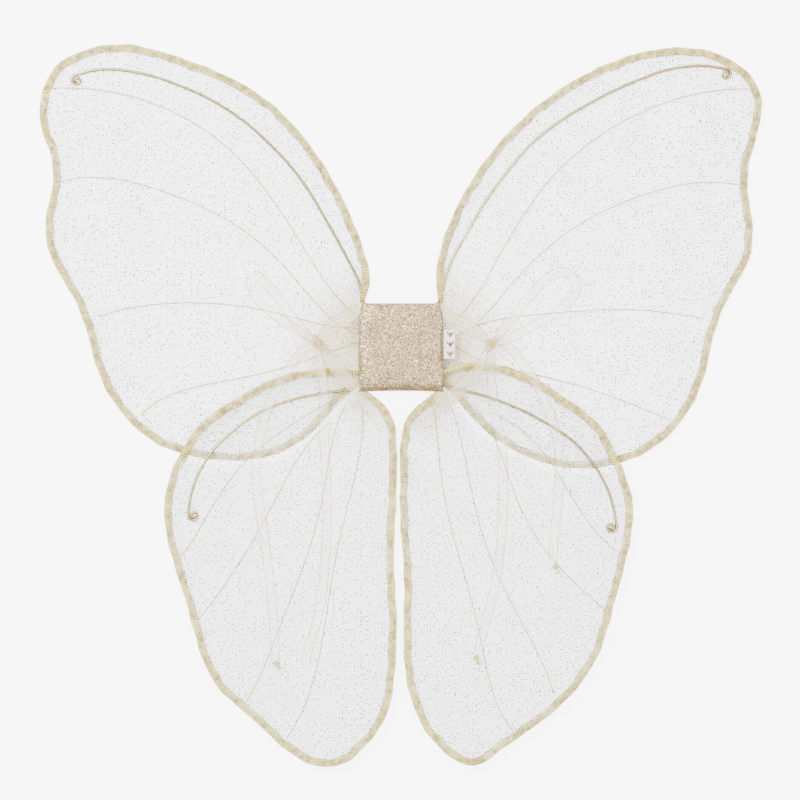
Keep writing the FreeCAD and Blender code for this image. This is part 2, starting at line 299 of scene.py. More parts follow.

# %% [markdown]
# ## Ties
#
# Each tie leaves a corner of the patch and runs to the knot on its side.  The upper one goes on
# into the bow's loop, and both end in long tails that lie loosely down the lower wings.  A ribbon
# is modelled the way it is made: a fixed width of cloth that follows one smooth line, gathered
# to a third of its width inside the knot.  The line is a NURBS spline, so it bends like cloth.

# %% Tie routes, in millimetres
STRAP_Z = 8.4
LOOP_Z = 9.6
TAIL_Z = 8.2
TIES = {
    "left_upper": {
        "route": [(-29, 27, 7), (-31, 25.5, 8), (-35, 22, STRAP_Z), (-41, 18.5, STRAP_Z),
                  (-48, 15.5, STRAP_Z), (-54, 10, 9), (-58, 4, 9.5), (-66, 9, LOOP_Z),
                  (-78, 25, LOOP_Z), (-89, 40, LOOP_Z), (-99, 51, LOOP_Z), (-105, 46, LOOP_Z),
                  (-101, 35, LOOP_Z), (-91, 25, LOOP_Z),
                  (-77, 15, LOOP_Z), (-63, 7, 10), (-58, 1, 9), (-66, 0, TAIL_Z), (-74, -9, TAIL_Z),
                  (-82, -21, TAIL_Z), (-92, -40, TAIL_Z), (-99, -67, TAIL_Z), (-101, -90, TAIL_Z),
                  (-97, -114, TAIL_Z), (-92.5, -147, TAIL_Z), (-88, -185, TAIL_Z), (-87, -216, TAIL_Z)],
        "exit": (-31, 26.5, 8), "tail_end": "knot", "knots_at": [(-57.5, 3)],
    },
    "left_lower": {
        "route": [(-28.6, -29.5, 6.5), (-31.5, -28, 8), (-35, -25.5, 8), (-39, -21.5, STRAP_Z),
                  (-44, -15, STRAP_Z), (-51, -6, STRAP_Z), (-57, 3, 9), (-57, -9, TAIL_Z),
                  (-53, -25, TAIL_Z), (-53.5, -47, TAIL_Z), (-53, -72, TAIL_Z), (-51.5, -97, TAIL_Z),
                  (-51, -126, TAIL_Z),
                  (-53.5, -164, TAIL_Z), (-58, -190, TAIL_Z), (-65, -211, TAIL_Z), (-66, -219, TAIL_Z)],
        "exit": (-31.5, -28.5, 8), "tail_end": "bare", "knots_at": [(-57, 3)],
    },
    "right_upper": {
        "route": [(29.2, 24.5, 7), (31.5, 23, 8), (36, 19.5, STRAP_Z), (42, 16, STRAP_Z),
                  (50, 12, STRAP_Z), (57, 7, 9), (63, 3, 9.5), (71, 4, LOOP_Z), (84, 11, LOOP_Z),
                  (98, 18.5, LOOP_Z),
                  (111, 26, LOOP_Z), (121, 36, LOOP_Z), (121, 47, LOOP_Z), (111, 54, LOOP_Z),
                  (99, 47, LOOP_Z), (88, 35, LOOP_Z), (77, 20, LOOP_Z), (67, 8, 10), (64, 2.5, 9),
                  (72, 4, TAIL_Z), (79, -4, TAIL_Z), (91, -20, TAIL_Z), (104, -46, TAIL_Z),
                  (110.5, -72, TAIL_Z), (109, -105, TAIL_Z), (105, -138, TAIL_Z), (105, -149, TAIL_Z)],
        "exit": (31.5, 23, 8), "tail_end": "knot", "knots_at": [(63, 3)],
    },
    "right_lower": {
        "route": [(26.5, -30.5, 6.5), (25.5, -34, 8), (28, -37.5, STRAP_Z), (33, -36.5, STRAP_Z),
                  (38.5, -31.5, STRAP_Z), (44, -25.5, STRAP_Z), (50, -19, STRAP_Z),
                  (56.5, -10, STRAP_Z), (62, 3, 9), (61.5, -12.5, TAIL_Z), (62.5, -26, TAIL_Z),
                  (65, -44, TAIL_Z), (70, -69, TAIL_Z), (71, -101, TAIL_Z), (69.5, -135, TAIL_Z),
                  (64.5, -170, TAIL_Z), (56, -198, TAIL_Z), (53.5, -212, TAIL_Z)],
        "exit": (26.5, -31.5, 7), "tail_end": "knot", "knots_at": [(62.5, 2.5)],
    },
}

# %% Make the ties
def smooth_line(route):
    """The NURBS line that has the route's points as its control points, as an array of points."""
    data = bpy.data.curves.new("route", "CURVE")
    data.dimensions = "3D"
    spline = data.splines.new("NURBS")
    spline.points.add(len(route) - 1)
    for point, place in zip(spline.points, route):
        point.co = (*(value * MM for value in place), 1.0)
    spline.order_u = 3
    spline.use_endpoint_u = True
    spline.resolution_u = 24
    holder = bpy.data.objects.new("route", data)
    mesh = bpy.data.meshes.new_from_object(holder)
    flat = np.empty(len(mesh.vertices) * 3)
    mesh.vertices.foreach_get("co", flat)
    bpy.data.objects.remove(holder)
    bpy.data.meshes.remove(mesh)
    return flat.reshape(-1, 3)


STRAP_SPREAD = 0.62        # the strap is spread wider where it leaves the patch
STRAP_MIDDLE = 18 * MM
STRAP_REACH = 13 * MM
PINCH_REACH = 7 * MM       # how far from a knot the ribbon is still drawn in
GATHER_REACH = 22 * MM     # how far from a knot or the seam its folds still make it denser
CREASE_RUN = 42 * MM       # the creases fade out of sight this far along
EDGE_R = 0.22 * MM
CREASE_R = 0.13 * MM
CREASES = (0, 2, 5, 8)     # lines across the cloth that show as thread: two edges and two creases

def ribbon_shape(line, pinches, seed):
    """Cloth points: the line's point, plus t times the half width to the side, t from -1 to 1.
    The half width shrinks near each pinch, and the edges rise and fall in slow waves."""
    draws = np.random.default_rng(seed)
    walked = along(line)
    tangent = unit(np.gradient(line, axis=0))
    side = unit(np.cross((0.0, 0.0, 1.0), tangent))
    away = np.min([np.linalg.norm(line[:, :2] - np.array(spot) * MM, axis=1) for spot in pinches], axis=0)
    half = RIBBON_WIDTH / 2 * (0.35 + 0.65 * (1 - np.exp(-((away / PINCH_REACH) ** 2))))
    half *= 1 + STRAP_SPREAD * np.exp(-(((walked - STRAP_MIDDLE) / STRAP_REACH) ** 2))
    across = np.linspace(-1, 1, 9)
    phases = draws.uniform(0, 2 * np.pi, 3)
    roll = 0.35 * np.sin(walked / (23 * MM) + phases[0]) + 0.25 * np.sin(walked / (9 * MM) + phases[1])
    cup = 0.25 * np.sin(walked / (31 * MM) + phases[2])
    flat = line[:, None] + side[:, None] * (half[:, None] * across)[:, :, None]
    lift = half[:, None] * (roll[:, None] * across * 0.5 + cup[:, None] * across ** 2)
    flat[:, :, 2] += lift
    return flat


def make_tie(name, design, seed):
    """One ribbon: sheer cloth with a gold thread along each edge."""
    line = resample(smooth_line(design["route"]), 1.6 * MM)
    cloth = ribbon_shape(line, design["knots_at"], seed)
    rows, columns = cloth.shape[:2]
    parts = [(cloth.reshape(-1, 3), grid_faces(rows, columns).tolist())]
    strap = int(CREASE_RUN / along(line)[-1] * rows)
    for crease in CREASES:
        is_edge = crease in (0, columns - 1)
        shown = cloth[:, crease] if is_edge else cloth[:strap, crease]
        parts.append(tube(shown, EDGE_R if is_edge else CREASE_R, sides=5))
    points, faces = joined(parts)
    piece = make_piece(f"{name}_tie", points, faces, [ribbon_cloth, edge_thread])
    cloth_faces = (rows - 1) * (columns - 1)
    index = np.ones(len(faces), dtype=int)
    index[:cloth_faces] = 0
    piece.data.polygons.foreach_set("material_index", index)
    walked = along(line)
    uv = np.zeros((len(points), 2))
    uv[:rows * columns, 0] = np.repeat(walked, columns)
    uv[:rows * columns, 1] = np.tile(np.linspace(0, RIBBON_WIDTH, columns), rows)
    give_uv(piece, uv)
    to_gather = nearest(points[:, :2], [np.array(design["knots_at"]) * MM, line[:1, :2]])
    layer = piece.data.attributes.new("gathered", "FLOAT", "POINT")
    layer.data.foreach_set("value", np.exp(-((to_gather / GATHER_REACH) ** 2)))
    piece.visible_shadow = False
    return piece, line


ties = {}
for seed, (name, design) in enumerate(TIES.items()):
    ties[name] = make_tie(name, design, seed)
    print(f"{name} tie: {along(ties[name][1])[-1] * 1000:.0f} mm of ribbon")

# %% [markdown]
# ## Sheer organza
#
# Organza is a plain weave of very fine, hard-twisted yarn with open holes between.  It shows as a
# faint veil with a crisp shine, and this cloth carries fine glitter dots on top.  Opacity
# therefore does most of the work: a low, slightly cloudy value for the weave and a higher one on
# each dot.  Some light also passes through the yarn, so the cloth never shades like card.

# %% Organza
DOT_SPACING = 2.1 * MM
DOT_COVER = 0.65                # how much more a dot hides than the cloth round it
GATHER_SIZE = (52 * MM, 42 * MM)  # half axes of the gathered field round the patch
WEAVE = 0.888 * MM              # real yarns are 0.1 mm apart; drawn coarse enough to show

def organza(name, veil_low, veil_high):
    """Organza with printed dots: the veil is how much of the cloth is yarn."""
    material, tree = new_material(name)
    where = add(tree, "ShaderNodeTexCoord")
    place = where.outputs["Object"]
    dots = add(tree, "ShaderNodeTexVoronoi", {"Vector": place, "Scale": 1 / DOT_SPACING,
                                              "Randomness": 0.85}, voronoi_dimensions="2D")
    chance = add(tree, "ShaderNodeSeparateColor", {"Color": dots.outputs["Color"]})
    size = add(tree, "ShaderNodeMapRange", {"Value": chance.outputs["Red"], "From Min": 0.32,
                                            "From Max": 1.0, "To Min": 0.12, "To Max": 0.27})
    dot = add(tree, "ShaderNodeMath", {0: dots.outputs["Distance"], 1: size.outputs["Result"]},
              operation="LESS_THAN")
    dot_tint = add(tree, "ShaderNodeValToRGB", {"Fac": chance.outputs["Green"]})
    ramp_stops(dot_tint, (0.0, "#50545F"), (0.4, "#74777F"), (0.62, "#7A6938"), (0.85, "#A8904E"),
               (0.95, "#FFFFFF"))
    yarns = {"Vector": place, "Scale": wave_scale(WEAVE), "Distortion": 0.6}
    warp = add(tree, "ShaderNodeTexWave", yarns, wave_type="BANDS", bands_direction="X")
    weft = add(tree, "ShaderNodeTexWave", yarns, wave_type="BANDS", bands_direction="Y")
    weave = add(tree, "ShaderNodeMath", {0: warp.outputs["Fac"], 1: weft.outputs["Fac"]},
                operation="MULTIPLY")
    cloud = add(tree, "ShaderNodeTexNoise", {"Vector": place, "Scale": 45.0, "Detail": 4.0,
                                             "Roughness": 0.6})
    crinkle = add(tree, "ShaderNodeTexNoise", {"Vector": place, "Scale": 420.0, "Detail": 3.0})
    veil = add(tree, "ShaderNodeMapRange", {"Value": cloud.outputs["Fac"], "From Min": 0.3, "From Max": 0.7,
                                            "To Min": veil_low, "To Max": veil_high})
    grain = add(tree, "ShaderNodeMath", {0: weave.outputs[0], 1: 0.06, 2: veil.outputs["Result"]},
                operation="MULTIPLY_ADD")
    bunch = add(tree, "ShaderNodeVectorMath", {0: place, 1: (1 / GATHER_SIZE[0], 1 / GATHER_SIZE[1], 0)},
                operation="MULTIPLY")
    from_patch = add(tree, "ShaderNodeVectorMath", {0: bunch.outputs["Vector"]}, operation="LENGTH")
    gathers = add(tree, "ShaderNodeMapRange", {"Value": from_patch.outputs["Value"], "From Min": 0.6,
                                               "From Max": 1.7, "To Min": 1.0, "To Max": 0.0},
                  interpolation_type="SMOOTHSTEP")
    thick = add(tree, "ShaderNodeMath", {0: gathers.outputs["Result"], 1: 0.22, 2: grain.outputs[0]},
                operation="MULTIPLY_ADD")
    sideways = add(tree, "ShaderNodeSeparateXYZ", {"Vector": place})
    # Painted shade: a brown tint in cloudy blotches along the patch's sides stands in for the shade that the
    # padded patch and the gathered cloth cast on the cloth beside it.
    from_middle = add(tree, "ShaderNodeMath", {0: sideways.outputs["X"]}, operation="ABSOLUTE")
    beside_patch = add(tree, "ShaderNodeMapRange", {"Value": from_middle.outputs[0], "From Min": 30 * MM,
                                               "From Max": 38 * MM, "To Min": 1.0, "To Max": 0.0},
                  interpolation_type="SMOOTHSTEP")
    shade_blotches = add(tree, "ShaderNodeMapRange", {"Value": cloud.outputs["Fac"], "From Min": 0.42,
                                             "From Max": 0.62})
    patch_side_reach = add(tree, "ShaderNodeMath", {0: beside_patch.outputs["Result"], 1: gathers.outputs["Result"]},
                  operation="MULTIPLY")
    patch_side_painted_shade = add(tree, "ShaderNodeMath", {0: patch_side_reach.outputs[0], 1: shade_blotches.outputs["Result"]},
                operation="MULTIPLY")
    stacked = add(tree, "ShaderNodeAttribute", attribute_name="extra_veil")
    adjusted = add(tree, "ShaderNodeMath", {0: stacked.outputs["Fac"], 1: thick.outputs[0]},
                   operation="ADD")
    alpha = add(tree, "ShaderNodeMath", {0: dot.outputs[0], 1: DOT_COVER, 2: adjusted.outputs[0]},
                operation="MULTIPLY_ADD", use_clamp=True)
    yarn = add(tree, "ShaderNodeMix", {"Factor": gathers.outputs["Result"], "A": colour("#F8FAFF"),
                                       "B": colour("#D6C68E")}, data_type="RGBA")
    yarn_with_painted_shade = add(tree, "ShaderNodeMix", {"Factor": patch_side_painted_shade.outputs[0], "A": yarn.outputs["Result"],
                                            "B": colour("#8F7440")}, data_type="RGBA")
    tint = add(tree, "ShaderNodeMix", {"Factor": dot.outputs[0], "A": yarn_with_painted_shade.outputs["Result"],
                                       "B": dot_tint.outputs["Color"]}, data_type="RGBA")
    bump = add(tree, "ShaderNodeBump", {"Height": crinkle.outputs["Fac"], "Strength": 0.25,
                                        "Distance": 0.4 * MM})
    skin = add(tree, "ShaderNodeBsdfPrincipled", {"Base Color": tint.outputs["Result"], "Roughness": 0.38,
                                                  "Sheen Weight": 0.25, "Alpha": alpha.outputs[0],
                                                  "Normal": bump.outputs["Normal"]})
    add(tree, "ShaderNodeOutputMaterial", {"Surface": skin.outputs["BSDF"]})
    return material


front_organza = organza("sheer dotted organza, front layer", 0.29, 0.40)
back_organza = organza("sheer dotted organza, back layer", 0.41, 0.53)

# %% [markdown]
# ## A wing's free edge
#
# The frame's back panel already has the wing's exact outline.  Its free edge can be read from that
# panel: seen from a point beside the root, the edge points come in order of their angle.  Right
# wings are read as if mirrored, so one set of root points serves both sides.

# %% Read the edges
EDGE_STEP = 0.4 * MM
EDGE_EASE = 4 * MM             # rounds off the short straight runs between the panel's points
ROOTS = {
    "upper": {"pole": (-39, 5), "cut_x": -38, "lead_in": [(-25.5, 31)],
              "lead_out": [(-36, -30), (-29, -27)],
              "line": [(-25.5, 31), (-26.8, 28), (-27.8, 22), (-28.3, -20), (-28.3, -27)], "middle_z": 1.5},
    "lower": {"pole": (-33, -33), "cut_x": -34, "lead_in": [(-28.5, -16)], "lead_out": [(-24, -30.3)],
              "line": [(-28.5, -16), (-28.5, -27), (-24, -30.3)], "middle_z": 5.0},
}

def mirrored(points, side):
    """Points with x turned round on the right-hand side."""
    points = np.array(points, dtype=float)
    points[..., 0] *= -side
    return points


def free_edge(wing):
    """The wing's outline without its root cut, from the upper end of the root to the lower."""
    side, level = wing.split("_")
    root = ROOTS[level]
    sign = -1 if side == "left" else 1
    outline = np.unique(np.round(mirrored(points_of(f"{wing}_back_panel")[:, :2], sign), 6), axis=0)
    outline = outline[np.abs(outline[:, 0] - root["cut_x"] * MM) > 0.2 * MM]
    pole = np.array(root["pole"]) * MM
    angle = np.arctan2(outline[:, 1] - pole[1], outline[:, 0] - pole[0])
    angle = np.where(angle < 0, angle + 2 * np.pi, angle)
    ordered = outline[np.argsort(angle)]
    ends = [np.array(root[key], dtype=float) * MM for key in ("lead_in", "lead_out")]
    edge = resample(np.concatenate([ends[0], ordered, ends[1]]), EDGE_STEP)
    return mirrored(smoothed(edge, EDGE_EASE), sign)


def root_line(wing, count):
    """Points along the patch's side, where the cloth is sewn in, evenly spaced."""
    side, level = wing.split("_")
    line = np.array(ROOTS[level]["line"], dtype=float) * MM
    walked = along(line)
    at = np.linspace(0, walked[-1], count)
    spaced = np.stack([np.interp(at, walked, line[:, axis]) for axis in (0, 1)], axis=1)
    return mirrored(spaced, -1 if side == "left" else 1)


WING_NAMES = ("left_upper", "right_upper", "left_lower", "right_lower")
edges = {wing: free_edge(wing) for wing in WING_NAMES}
for wing, edge in edges.items():
    print(f"{wing}: {along(edge)[-1] * 1000:.0f} mm of hem")

# %% [markdown]
# ## Veins
#
# The veins are lines of stitching.  The frame holds each one as a thin flat strip, so its middle
# line is a smooth curve fitted through the strip's two sides.

# %% Read the vein lines
VEIN_DEGREE = 5
VEIN_REACH = 9 * MM            # how far the stitching runs on under the ties

def islands(node):
    """The separate solids of a node: corners that share an edge get one label."""
    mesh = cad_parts[node].data
    points = points_of(node)
    places, index = np.unique(np.round(points, 6), axis=0, return_inverse=True)
    ends = np.empty(len(mesh.edges) * 2, dtype=int)
    mesh.edges.foreach_get("vertices", ends)
    a, b = index.ravel()[ends.reshape(-1, 2)].T
    label = np.arange(len(places))
    while True:
        lowest = np.minimum(label[a], label[b])
        if np.all(label[a] == lowest) and np.all(label[b] == lowest):
            return [places[label == value] for value in np.unique(label)]
        np.minimum.at(label, a, lowest)
        np.minimum.at(label, b, lowest)


def middle_line(strip):
    """A polynomial through the strip: sideways distance as a function of the way along its chord."""
    flat = strip[:, :2]
    near = flat[np.argmin(np.linalg.norm(flat, axis=1))]
    far = flat[np.argmax(np.linalg.norm(flat - near, axis=1))]
    length = np.linalg.norm(far - near)
    chord = (far - near) / length
    across = np.array([-chord[1], chord[0]])
    s, h = (flat - near) @ chord / length, (flat - near) @ across
    fit = np.polyfit(s, h, VEIN_DEGREE)
    at = np.linspace(-VEIN_REACH / length, 1.0, 400)
    steady = np.where(at < 0, np.polyval(fit, 0) + at * np.polyval(np.polyder(fit), 0), np.polyval(fit, at))
    return near + at[:, None] * chord * length + steady[:, None] * across


veins = {wing: [middle_line(strip) for strip in islands(f"{wing}_veins")] for wing in WING_NAMES}
print({wing: [round(along(line)[-1] * 1000) for line in lines] for wing, lines in veins.items()})

# %% [markdown]
# ## Wing cloth
#
# Each wing has two layers, sewn together along the hem and the veins, so each field between two
# veins is a very flat, soft pocket.  The cloth is a ruled grid: one parameter walks along the free
# edge, the other goes from the root to that edge, so the grid lines fan out as the gathers do.
# Its height is a slow sway, plus gathers that fade away from the root, plus or minus the pocket.
# The part beside the patch is cut off as a gusset, since a whole wing would pull out of the seam
# when it folds; only the rest of the cloth is attached to the wing.

# %% Wing cloth
HEM_WIDTH = 5 * MM
CLOTH_STEP = 3 * MM
CLOTH_ROWS = 84
POCKET = 0.85 * MM             # half the space between the layers in the middle of a field
SEAM = 0.12 * MM               # half the space at a seam
WIRE_CLEAR = 1.08 * MM         # the edge wire's radius and a little air
LOWER_VEIL = 0.09              # the lower wings are cut from slightly denser cloth
OVERLAP_VEIL = -0.17           # four layers lie together there, and each lets the next shine through
HEM_VEIL = -0.26               # the bright hem of the upper wing shines through more strongly still

def wire_line(wing):
    """The edge wire's points, thinned, seen from above."""
    flat = points_of(f"{wing}_wire")[:, :2]
    return np.unique(np.round(flat, 4), axis=0)[::6]


def sway(flat, wing):
    """Height of the middle between the layers: slow plane waves and gathers at the root."""
    draws = np.random.default_rng(11 + WING_NAMES.index(wing))
    side, level = wing.split("_")
    height = np.zeros(flat.shape[:-1])
    for length, size in ((130, 0.30), (85, 0.26), (52, 0.18), (33, 0.10), (17, 0.05)):
        way = draws.uniform(0, 2 * np.pi)
        phase = draws.uniform(0, 2 * np.pi)
        travel = flat[..., 0] * np.cos(way) + flat[..., 1] * np.sin(way)
        height += size * MM * np.sin(2 * np.pi * travel / (length * MM) + phase)
    pole = mirrored(np.array(ROOTS[level]["pole"]) * MM, -1 if side == "left" else 1)
    reach = np.linalg.norm(flat - pole, axis=-1)
    turn = np.arctan2(flat[..., 1] - pole[1], flat[..., 0] - pole[0])
    height += 0.35 * MM * np.sin(22 * turn + draws.uniform(0, 6)) * np.exp(-((reach / (60 * MM)) ** 2))
    free = 1 - np.exp(-((nearest(flat, [wire_line(wing)]) / (14 * MM)) ** 2))
    return height * free + ROOTS[level]["middle_z"] * MM


def layer_height(flat, wing, seams, sign):
    """Height of one layer: the middle plus or minus half the pocket, which is flat at a seam and
    full between.  Beside the wire the front layer dips to the wire's waist, the back one under it."""
    away = nearest(flat, seams)
    pocket = SEAM + (POCKET - SEAM) * (1 - np.exp(-((away / (11 * MM)) ** 2)))
    at_wire = np.exp(-((np.maximum(nearest(flat, [wire_line(wing)]) - 3 * MM, 0) / (4 * MM)) ** 2))
    level = ROOTS[wing.split("_")[1]]["middle_z"] * MM - (0.15 * MM if sign > 0 else WIRE_CLEAR)
    return (sway(flat, wing) + sign * pocket) * (1 - at_wire) + level * at_wire


def wing_grid(wing):
    """Points of the wing seen from above: from the root line to the free edge."""
    edge = resample(edges[wing], CLOTH_STEP)
    root = root_line(wing, len(edge))
    share = np.linspace(0, 1, CLOTH_ROWS)[None, :, None]
    return root[:, None] * (1 - share) + edge[:, None] * share


def area_inside(edge):
    """Flat area of a closed outline, by the shoelace formula."""
    after = np.roll(edge, -1, axis=0)
    return abs(np.sum(edge[:, 0] * after[:, 1] - after[:, 0] * edge[:, 1])) / 2


def inside(outline, flat):
    """True where a point lies in a closed outline: a ray to the right crosses it an odd number of
    times."""
    odd = np.zeros(flat.shape[:-1], dtype=bool)
    for a, b in zip(outline, np.roll(outline, -1, axis=0)):
        if a[1] != b[1]:
            level = (a[1] > flat[..., 1]) != (b[1] > flat[..., 1])
            crossing = a[0] + (flat[..., 1] - a[1]) * (b[0] - a[0]) / (b[1] - a[1])
            odd ^= level & (flat[..., 0] < crossing)
    return odd


def lower_wing_veil(wing, flat):
    """How much denser a lower wing's cloth looks at each point: denser alone, thinner over the upper
    wing, and thinnest along that wing's hem."""
    below = resample(edges[wing.replace("lower", "upper")], 2 * MM)
    over_hem = np.exp(-((nearest(flat, [below]) / (4.5 * MM)) ** 2))
    return (np.where(inside(below, flat), OVERLAP_VEIL, LOWER_VEIL) + HEM_VEIL * over_hem).ravel()


def used_only(points, faces):
    """The points that some faces use, those faces counted anew, and which points they are."""
    kept, index = np.unique(faces, return_inverse=True)
    return points[kept], index.reshape(faces.shape), kept


GUSSET_X = 40 * MM             # the gusset's outer end, from the patch's middle
GUSSET_Y = 30.5 * MM           # half its height, about that of the patch

for wing in WING_NAMES:
    flat = wing_grid(wing)
    hem_inner = resample(edges[wing], 2 * MM)
    seams = [resample(line, 2 * MM) for line in veins[wing]] + [hem_inner]
    faces = grid_faces(*flat.shape[:2])
    if wing.startswith("left"):
        faces = faces[:, ::-1]
    size = np.ptp(edges[wing], axis=0)
    for layer, sign, material in (("front", 1, front_organza), ("back", -1, back_organza)):
        height = layer_height(flat, wing, seams, sign)
        points = np.concatenate([flat, height[..., None]], axis=-1).reshape(-1, 3)
        turned = faces if sign > 0 else faces[:, ::-1]
        middle = np.abs(points[turned, :2].mean(axis=1))
        beside = (middle[:, 0] < GUSSET_X) & (middle[:, 1] < GUSSET_Y)
        pieces = {}
        for part, chosen in (("cloth", ~beside), ("gusset", beside)):
            some, those, kept = used_only(points, turned[chosen])
            pieces[part] = make_piece(f"{wing}_{layer}_{part}", some, those, [material])
            pieces[part].visible_shadow = False    # sheer cloth darkens almost nothing behind it
            if wing.endswith("lower"):
                shade = pieces[part].data.attributes.new("extra_veil", "FLOAT", "POINT")
                shade.data.foreach_set("value", lower_wing_veil(wing, flat)[kept])
        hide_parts(f"{wing}_{layer}_panel")
        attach(pieces["cloth"], f"{wing}_wing")
        side = wing.split("_")[0]
        way = -1 if side == "left" else 1
        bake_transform(pieces["gusset"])
    print(f"{wing}: {size[0] / MM:.0f} x {size[1] / MM:.0f} mm, {area_inside(edges[wing]) * 1e4:.0f} cm2")

# %% [markdown]
# ## Hem and vein thread
#
# The free edge is overlocked: an overlock machine wraps soft, shiny thread round the raw edge, so
# each stitch crosses the top, goes round the edge and comes back underneath.  Two coils that wind
# opposite ways give exactly that crossing, and a chain of thread runs along each side.

# %% Thread materials
def thread_material(name, dark, light, roughness):
    """Twisted thread: its tint drifts between two tones, and fine plies show as bump."""
    material, tree = new_material(name)
    where = add(tree, "ShaderNodeTexCoord")
    drift = add(tree, "ShaderNodeTexNoise", {"Vector": where.outputs["Object"], "Scale": 260.0,
                                             "Detail": 4.0})
    tint = add(tree, "ShaderNodeValToRGB", {"Fac": drift.outputs["Fac"]})
    ramp_stops(tint, (0.35, dark), (0.62, light))
    plies = add(tree, "ShaderNodeTexNoise", {"Vector": where.outputs["Object"], "Scale": 2600.0})
    bump = add(tree, "ShaderNodeBump", {"Height": plies.outputs["Fac"], "Strength": 0.3,
                                        "Distance": 0.1 * MM})
    skin = add(tree, "ShaderNodeBsdfPrincipled", {"Base Color": tint.outputs["Color"],
                                                  "Roughness": roughness, "Sheen Weight": 0.3,
                                                  "Normal": bump.outputs["Normal"]})
    add(tree, "ShaderNodeOutputMaterial", {"Surface": skin.outputs["BSDF"]})
    return material


hem_thread = thread_material("pale gold overlock thread", "#B0982A", "#F6E684", 0.5)
chain_thread = thread_material("deep gold looper thread", "#96821C", "#CEBC44", 0.45)
vein_thread = thread_material("pale gold stitching thread", "#A68E10", "#D6C034", 0.5)

# %% Overlocked hems
STITCH_PITCH = 1.9 * MM
TURN_POINTS = 10
HEM_HALF_HEIGHT = 0.95 * MM
THREAD_R = 0.38 * MM

def hem_frame(wing, step):
    """Edge points at a spacing, the direction into the cloth at each, and the height there."""
    edge = resample(edges[wing], step)
    forward = unit(np.gradient(edge, axis=0))
    inward = np.stack([-forward[:, 1], forward[:, 0]], axis=1) * (1 if wing.startswith("left") else -1)
    walked = along(edge)
    frill = 0.22 * MM * np.sin(walked / (4.3 * MM)) + 0.18 * MM * np.sin(walked / (2.9 * MM) + 1.0)
    rise = 0.25 * MM * np.sin(walked / (7.1 * MM)) + 0.15 * MM * np.sin(walked / (3.7 * MM))
    height = sway(edge, wing) + rise
    return edge + inward * frill[:, None], forward, inward, height, walked


def around_hem(wing, step, turn_of, half_width, half_height, centre=0.5):
    """Points on an ellipse round the hem's middle: turn 0 is the cloth side, half a turn the edge."""
    edge, forward, inward, height, walked = hem_frame(wing, step)
    uneven = 0.25 * np.sin(walked / (3.1 * MM)) + 0.2 * np.sin(walked / (5.3 * MM) + 2.0)
    turn = turn_of(walked) + uneven
    to_end = np.minimum(walked, walked[-1] - walked)
    narrow = 0.55 + 0.45 * np.clip(to_end / (16 * MM), 0, 1)
    swell = narrow * (1 + 0.05 * np.sin(walked / (6.7 * MM)) + 0.04 * np.sin(walked / (2.3 * MM)))
    across = swell * (HEM_WIDTH * centre + half_width * np.cos(turn))
    flat = edge + inward * across[:, None]
    rise = height + half_height * np.sin(turn)
    level_forward = np.concatenate([forward, 0 * height[:, None]], axis=1)
    return np.concatenate([flat, rise[:, None]], axis=1), level_forward


for wing in WING_NAMES:
    parts = []
    coil_step = STITCH_PITCH / TURN_POINTS
    for way, phase in ((1, 0.0), (-1, 0.8)):
        path, forward = around_hem(wing, coil_step, lambda s: way * 2 * np.pi * s / STITCH_PITCH + phase,
                                   HEM_WIDTH / 2, HEM_HALF_HEIGHT)
        parts.append(tube(path, THREAD_R, forward, sides=4))
    points, faces = joined(parts)
    coils = make_piece(f"{wing}_hem_coils", points, faces, [hem_thread])
    chains = []
    for place in (0.06, 0.97):
        for wobble in (0.0, np.pi):
            path, _ = around_hem(wing, 0.7 * MM, lambda s: 2 * np.pi * s / (2 * STITCH_PITCH) + wobble,
                                 0.22 * MM, 0.35 * MM, centre=place)
            path[:, 2] += HEM_HALF_HEIGHT * 0.35 if place > 0.5 else 0.0
            chains.append(tube(path, 0.2 * MM, sides=4))
    points, faces = joined(chains)
    chain = make_piece(f"{wing}_hem_chain", points, faces, [chain_thread])
    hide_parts(f"{wing}_hem")
    for piece in (coils, chain):
        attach(piece, f"{wing}_wing")
    print(f"{wing} hem: {len(coils.data.polygons)} faces of thread")

# %% Vein stitches
STITCH_LENGTH = 2.8 * MM

def stitched(line, wing, sign):
    """A line of stitches: each is a low bow of thread that dips into the cloth at both ends."""
    flat = resample(line, STITCH_LENGTH / 7)
    walked = along(flat)
    bow = np.sqrt(np.abs(np.sin(np.pi * walked / STITCH_LENGTH)))
    height = sway(flat, wing) + sign * (SEAM + 0.42 * MM * bow - 0.1 * MM)
    return np.concatenate([flat, height[:, None]], axis=1)


for wing in WING_NAMES:
    threads = [tube(stitched(line, wing, sign), 0.34 * MM, sides=5)
               for line in veins[wing] for sign in (1, -1)]
    points, faces = joined(threads)
    piece = make_piece(f"{wing}_vein_stitches", points, faces, [vein_thread])
    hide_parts(f"{wing}_veins")
    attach(piece, f"{wing}_wing")

# %% [markdown]
# ## Edge wires
#
# A gold-coloured craft wire stiffens each wing.  The frame's wires already have the right line,
# with the curled end that keeps a sharp tip away from the child, so they only need their metal:
# drawn wire, polished but slightly mottled where fingers have bent it.  Its two sides are painted a
# dull dark brown as painted shade, standing in for the dark flanks of a round wire.  The way the
# surface faces picks one or the other.

# %% Gold wire
gold_wire, tree = new_material("drawn gold-coloured craft wire")
where = add(tree, "ShaderNodeTexCoord")
mottle = add(tree, "ShaderNodeTexNoise", {"Vector": where.outputs["Object"], "Scale": 350.0, "Detail": 4.0})
tint = add(tree, "ShaderNodeValToRGB", {"Fac": mottle.outputs["Fac"]})
ramp_stops(tint, (0.3, "#D8B85A"), (0.55, "#EFD580"), (0.75, "#FBE9AC"))
